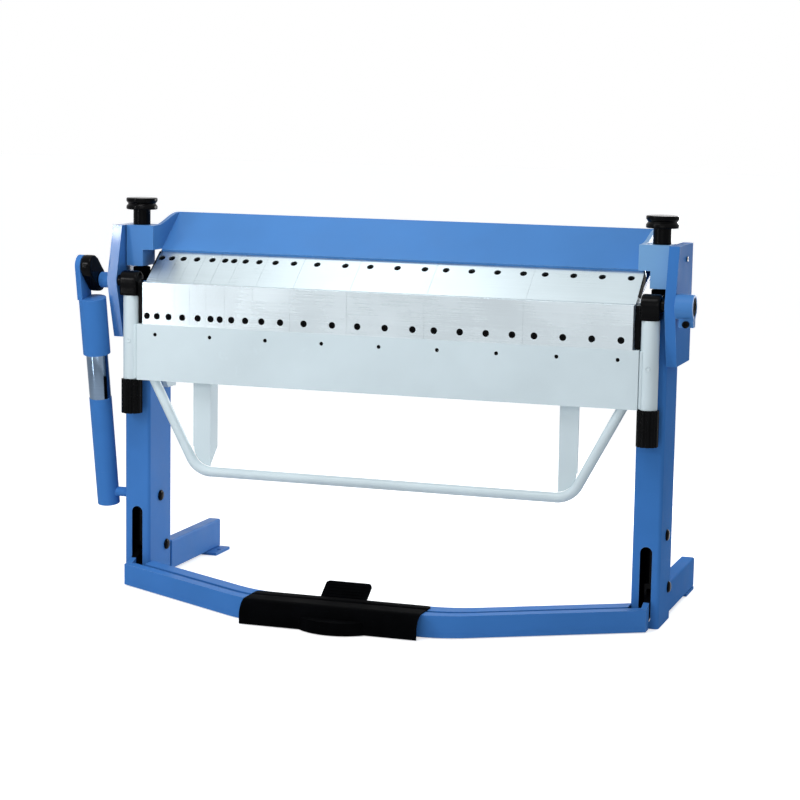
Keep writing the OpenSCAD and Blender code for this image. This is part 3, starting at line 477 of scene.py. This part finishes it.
def bead(name, path, normal, radius, slot, body, closed=False, ripple=0.2, pitch=4.5, step=1.5):
    """A wire or a weld bead along a path: a tube, with the ripples that the welder's hand leaves."""
    ends = list(zip(path, path[1:] + path[:1])) if closed else list(zip(path, path[1:]))
    stations = []
    travelled = 0.0
    for start, end in ends:
        length = (end - start).length
        count = max(2, round(length / (step * MM)))
        for k in range(count):
            stations.append((start.lerp(end, k / count), travelled + length * k / count))
        travelled += length
    if not closed:
        stations.append((path[-1], travelled))
    mesh = bmesh.new()
    last = len(stations) - 1
    rings = []
    for i, (place, distance) in enumerate(stations):
        before = stations[i - 1][0] if i or closed else place
        after = stations[(i + 1) % len(stations)][0] if i < last or closed else place
        across = (after - before).normalized().cross(normal)
        wave = math.cos(2 * math.pi * distance / (pitch * MM))
        r = radius * MM * (1 - ripple * (0.5 + 0.5 * wave))
        if not closed and i in (0, last):
            r *= BEAD_TIP
        ring = []
        for angle in all_round(BEAD_SIDES):
            ring.append(mesh.verts.new(place + r * (math.cos(angle) * normal + math.sin(angle) * across)))
        rings.append(ring)
    loft(mesh, rings, closed)
    bmesh.ops.recalc_face_normals(mesh, faces=mesh.faces)
    return piece(name, mesh, slot, body)


def round_path(centre, half_u, half_v, u, v, count=36):
    """Points of an ellipse around a centre, in the plane of two directions."""
    return [centre + MM * (half_u * math.cos(a) * u + half_v * math.sin(a) * v) for a in all_round(count)]


# Added details, in millimetres where nothing else is said

X, Y, Z = Vector((1, 0, 0)), Vector((0, 1, 0)), Vector((0, 0, 1))
ENDS = ((-1, "left"), (1, "right"))
COLUMN_X = 673
POST_R = 22
ROD_X = 679
ROD_Y = 73
BEAM_FRONT = -20
BEAM_LOW = -250

# Pressed-in plugs on the fronts of the end posts
PLUG = [(6.8, -3), (6.8, 0.4), (6.2, 1.0), (4.6, 1.1), (4.1, 0.5), (0.2, 0.5)]
PLUG_Z = -150
plugs = bmesh.new()
for side, end in ENDS:
    lathe(plugs, PLUG, from_bend(side * COLUMN_X, -POST_R, PLUG_Z), -Y)
piece("post_plugs", plugs, "pale_paint", "bending_wing")

# Black plugs sunk in the row of holes along the folding beam, shaped as set screws: painted shade for the
# dark inside of the holes
HOLE_SHADE_PLUG = [(4.9, -9), (4.9, -1.2), (4.3, -0.6), (2.6, -0.6), (2.4, -3.5), (0.2, -3.5)]
HOLE_PITCH = 150
HOLES_EACH_WAY = 4
HOLE_Z = -132
hole_shade_plugs = bmesh.new()
for k in range(-HOLES_EACH_WAY, HOLES_EACH_WAY + 1):
    lathe(hole_shade_plugs, HOLE_SHADE_PLUG, from_bend(HOLE_PITCH * k, BEAM_FRONT, HOLE_Z), -Y)
piece("beam_hole_shade_plugs", hole_shade_plugs, "blackened_steel", "bending_wing")

# Weld seams: posts to folding beam, handle to beam, rear feet and strut pin to the legs
SEAM_R = 6.2
SEAM_X = COLUMN_X - POST_R + 5.6
SEAM_Y = -13.4
SEAM_LOW = BEAM_LOW + 2
SEAM_HIGH = -109
HANDLE_X = 610
HANDLE_SEAM = (14.6, 12.6)
HANDLE_BEAD_R = 2.2
PIN_SEAM_R = 13.4
PIN_BEAD_R = 3.2
FOOT_SEAM_LOW = 10 * MM
FOOT_BEAD_R = 2.6
# The plate under a rear foot reaches this far past the tube, on the inner side
PLATE_REACH = 27 * MM
handle_low, handle_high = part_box("handle_tube")
for side, end in ENDS:
    seam = [from_bend(side * SEAM_X, SEAM_Y, SEAM_LOW), from_bend(side * SEAM_X, SEAM_Y, SEAM_HIGH)]
    bead("post_seam_" + end, seam, Y, SEAM_R, "pale_paint", "bending_wing", ripple=0.06)
    joint = from_bend(side * HANDLE_X, 0, BEAM_LOW)
    joint.y = (handle_low.y + handle_high.y) / 2
    seam = round_path(joint, *HANDLE_SEAM, X, Y)
    bead("handle_weld_" + end, seam, Z, HANDLE_BEAD_R, "pale_paint", "bending_wing", closed=True)
    foot_low, foot_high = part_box("rear_foot_" + end)
    near_x = foot_low.x + (PLATE_REACH if side > 0 else 0)
    far_x = foot_high.x - (PLATE_REACH if side < 0 else 0)
    corners = (
        (near_x, FOOT_SEAM_LOW),
        (far_x, FOOT_SEAM_LOW),
        (far_x, foot_high.z),
        (near_x, foot_high.z),
    )
    seam = [Vector((x, foot_low.y, z)) for x, z in corners]
    bead("foot_weld_" + end, seam, Y, FOOT_BEAD_R, "frame_paint", "frame", closed=True)
pin_low, pin_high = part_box("strut_anchor_pin")
pin_root = Vector((pin_high.x, (pin_low.y + pin_high.y) / 2, (pin_low.z + pin_high.z) / 2))
seam = round_path(pin_root, PIN_SEAM_R, PIN_SEAM_R, Y, Z)
bead("strut_pin_weld", seam, X, PIN_BEAD_R, "frame_paint", "frame", closed=True)

# Domed caps on both heads of the leg bolts, which are the levers' pivots and the springs' anchors
DOME = [(13.4, -0.5), (13.3, 0.8), (11.6, 2.5), (8.2, 3.8), (4, 4.4), (0.3, 4.6)]
PIVOT = (138, 84)
ANCHOR = (100, 221)
HEAD_OUT = 711
HEAD_IN = 635
caps = bmesh.new()
for side, end in ENDS:
    for y, z in (PIVOT, ANCHOR):
        for x, way in ((HEAD_OUT, 1), (HEAD_IN, -1)):
            lathe(caps, DOME, at(side * x, y, z), side * way * X, 32)
piece("leg_bolt_caps", caps, "blackened_steel", "frame")

# Lift springs inside the legs: wound wire, which on the machine draws together as the pedal comes up; here
# it keeps one length
SPRING_Y = 100
SPRING_LOW = 98.25
SPRING_HIGH = 212.7
COIL_R = 10
WIRE_R = 2
TURNS = 12
TURN_STEPS = 16
for side, end in ENDS:
    wire = []
    for k in range(TURNS * TURN_STEPS + 1):
        share = k / (TURNS * TURN_STEPS)
        angle = 2 * math.pi * TURNS * share
        height = SPRING_LOW + WIRE_R + (SPRING_HIGH - SPRING_LOW - 2 * WIRE_R) * share
        x = side * ROD_X + COIL_R * math.cos(angle)
        y = SPRING_Y + COIL_R * math.sin(angle)
        wire.append(at(x, y, height))
    spring = bead("lift_spring_" + end, wire, Z, WIRE_R, "bare_steel", "frame", ripple=0, step=3)
    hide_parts("lift_springs")
    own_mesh(spring)

# Guides of the pull rods: a plate in the top of each leg, with a collar round the rod
BORE_R = 13
COLLAR = [(22, 0), (22, 27), (20.5, 29), (14, 29), (BORE_R, 28), (BORE_R, 0)]
GUIDE_T = 3 * MM
GUIDE_INSET = Vector((1.5, 1.5, 0)) * MM
guides = bmesh.new()
for side, end in ENDS:
    leg_low, leg_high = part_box("leg_" + end)
    rod = at(side * ROD_X, ROD_Y, 0)
    outline, hole = rectangle_round(leg_low + GUIDE_INSET, leg_high - GUIDE_INSET, rod, BORE_R * MM)
    plate(guides, outline, leg_high.z, leg_high.z + GUIDE_T, hole)
    seat = Vector((rod.x, rod.y, leg_high.z + GUIDE_T))
    lathe(guides, COLLAR, seat, Z, 40, hollow=True)
piece("rod_guides", guides, "black_paint", "frame")

# Cap over the sunk head of the right hinge pin
PIN_CAP = [(22.4, 0), (22.4, 11.4), (21.2, 12.6), (9, 12.6), (8, 11.6), (0.2, 11.6)]
cap = bmesh.new()
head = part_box("hinge_pin_right")[1]
lathe(cap, PIN_CAP, Vector((head.x, BEND_Y, BEND_Z)), X, 40)
piece("hinge_pin_cap", cap, "black_paint", "bending_wing")

# Back apron of the pedal cover, over the groove between pedal and tie
APRON_BACK = 42 * MM
APRON_T = 3 * MM
CORNER_R = 12 * MM
CORNER_STEPS = 8
apron = bmesh.new()
cover_low, cover_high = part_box("pedal_cover")
outline = [(cover_low.x, cover_high.y), (cover_high.x, cover_high.y)]
corner_y = cover_high.y + APRON_BACK - CORNER_R
for x, quarter in ((cover_high.x - CORNER_R, 0), (cover_low.x + CORNER_R, 1)):
    for k in range(CORNER_STEPS + 1):
        angle = math.pi / 2 * (quarter + k / CORNER_STEPS)
        outline.append((x + CORNER_R * math.cos(angle), corner_y + CORNER_R * math.sin(angle)))
plate(apron, outline, cover_high.z - APRON_T, cover_high.z)
piece("cover_apron", apron, "black_paint", "foot_pedal")

# Grip ribs across the tread of the release pedal, which stands tilted over its pivot
RIB = [(0.2, -47), (1.3, -46.4), (1.8, -45), (1.8, 45), (1.3, 46.4), (0.2, 47)]
RIB_PLACES = (4, 14, 24, 34, 44)
RELEASE_X = -33
RELEASE_Y = -152
RELEASE_Z = 40
RELEASE_TILT = math.radians(34)
TREAD_H = 16
ribs = bmesh.new()
for y in RIB_PLACES:
    rise = y * math.sin(RELEASE_TILT) + TREAD_H * math.cos(RELEASE_TILT)
    back = y * math.cos(RELEASE_TILT) - TREAD_H * math.sin(RELEASE_TILT)
    lathe(ribs, RIB, at(RELEASE_X, RELEASE_Y + back, RELEASE_Z + rise), X, 12)
piece("release_ribs", ribs, "black_paint", "release")


# Lights, floor and camera

def seen_directly(tree, mirrored=1.0):
    """1 for rays that show the background itself: from the camera, or a share by way of metal and glass."""
    path = tree.nodes.new("ShaderNodeLightPath")
    value = path.outputs["Is Camera Ray"]
    for kind in ("Is Glossy Ray", "Is Transmission Ray"):
        part = tree.nodes.new("ShaderNodeMath")
        part.operation = "MULTIPLY"
        tree.links.new(path.outputs[kind], part.inputs[0])
        part.inputs[1].default_value = mirrored
        either = tree.nodes.new("ShaderNodeMath")
        either.operation = "MAXIMUM"
        tree.links.new(value, either.inputs[0])
        tree.links.new(part.outputs["Value"], either.inputs[1])
        value = either.outputs["Value"]
    return value


def light_world(name, sky, strength):
    """Soft light from all round, on a background that shows as plain white."""
    world = bpy.data.worlds.new(name)
    world.use_nodes = True
    tree = world.node_tree
    tree.nodes.clear()
    soft = tree.nodes.new("ShaderNodeBackground")
    soft.inputs["Color"].default_value = sky
    soft.inputs["Strength"].default_value = strength
    white = tree.nodes.new("ShaderNodeBackground")
    white.inputs["Color"].default_value = (1, 1, 1, 1)
    white.inputs["Strength"].default_value = 1.0
    choose = tree.nodes.new("ShaderNodeMixShader")
    tree.links.new(seen_directly(tree), choose.inputs["Fac"])
    tree.links.new(soft.outputs["Background"], choose.inputs[1])
    tree.links.new(white.outputs["Background"], choose.inputs[2])
    output = tree.nodes.new("ShaderNodeOutputWorld")
    tree.links.new(choose.outputs["Shader"], output.inputs["Surface"])
    scene.world = world


def area_light(name, place, target, width, height, power):
    """A rectangular lamp at a place, turned to a target: metres and watts."""
    data = bpy.data.lights.new(name, "AREA")
    data.energy = power
    data.shape = "RECTANGLE"
    data.size = width
    data.size_y = height
    lamp = bpy.data.objects.new(name, data)
    scene.collection.objects.link(lamp)
    lamp.location = place
    lamp.rotation_euler = (Vector(target) - Vector(place)).to_track_quat("-Z", "Y").to_euler()


light_world("studio", (0.93, 0.96, 1.0, 1), 0.46)
area_light("key", (-1.95, -2.48, 1.93), (0, 0, 0.6), 0.5, 0.5, 16)
area_light("fill", (1.1, -4.4, 1.7), (0, 0, 0.4), 2.4, 2.0, 24)
area_light("top", (-0.3, -0.95, 2.5), (0, 0, 0.8), 1.4, 0.8, 22)
area_light("inner", (0.75, 1.9, 1.1), (-0.6, 0.2, 0.4), 1.0, 1.0, 28)
area_light("glint", (-0.74, 0.31, 3.1), (0, 0, 0.85), 0.6, 0.6, 2)
area_light("strip", (-2.2, -2.8, 0.8), (0, 0, 0.7), 0.16, 1.4, 10)

# Floor just under the feet, pale in the camera's view and dimmer in the metal
FLOOR_HALF = 30
FLOOR_DROP = 0.0005
FLOOR_GLOW = 0.62
FLOOR_MIRRORED = 0.4
floor_mesh = bmesh.new()
bmesh.ops.create_grid(floor_mesh, x_segments=1, y_segments=1, size=FLOOR_HALF)
floor_data = bpy.data.meshes.new("floor")
floor_mesh.to_mesh(floor_data)
floor_mesh.free()
floor = bpy.data.objects.new("floor", floor_data)
scene.collection.objects.link(floor)
floor.location.z = -FLOOR_DROP
paper = Shader("floor_paper")
paper.set(Base_Color=(0.80, 0.80, 0.80, 1), Roughness=0.8, Specular_IOR_Level=0.1)
paper.set(Emission_Color=(1, 1, 1, 1))
glow = paper.remap(seen_directly(paper.tree, FLOOR_MIRRORED), 0, 1, 0, FLOOR_GLOW)
paper.link(glow, paper.bsdf.inputs["Emission Strength"])
floor_data.materials.append(paper.material)

# Camera solved from the photograph, in millimetres and degrees in the machine's own frame
CAMERA_PLACE = (1767.27, -5235.12, 1295.04)
YAW, PITCH, ROLL = (math.radians(a) for a in (18.148, 7.939, 0.977))
LENS = 101.48
SENSOR = 36
forward = Vector((-math.sin(YAW) * math.cos(PITCH), math.cos(YAW) * math.cos(PITCH), -math.sin(PITCH)))
level = Vector((math.cos(YAW), math.sin(YAW), 0))
upward = level.cross(forward)
right = math.cos(ROLL) * level + math.sin(ROLL) * upward
up = math.cos(ROLL) * upward - math.sin(ROLL) * level
camera_data = bpy.data.cameras.new("camera")
camera_data.sensor_width = SENSOR
camera_data.lens = LENS
camera = bpy.data.objects.new("camera", camera_data)
scene.collection.objects.link(camera)
turned = Matrix((right, up, -forward)).transposed().to_4x4()
camera.matrix_world = Matrix.Translation(at(*CAMERA_PLACE)) @ turned
scene.camera = camera
scene.view_settings.view_transform = "Standard"
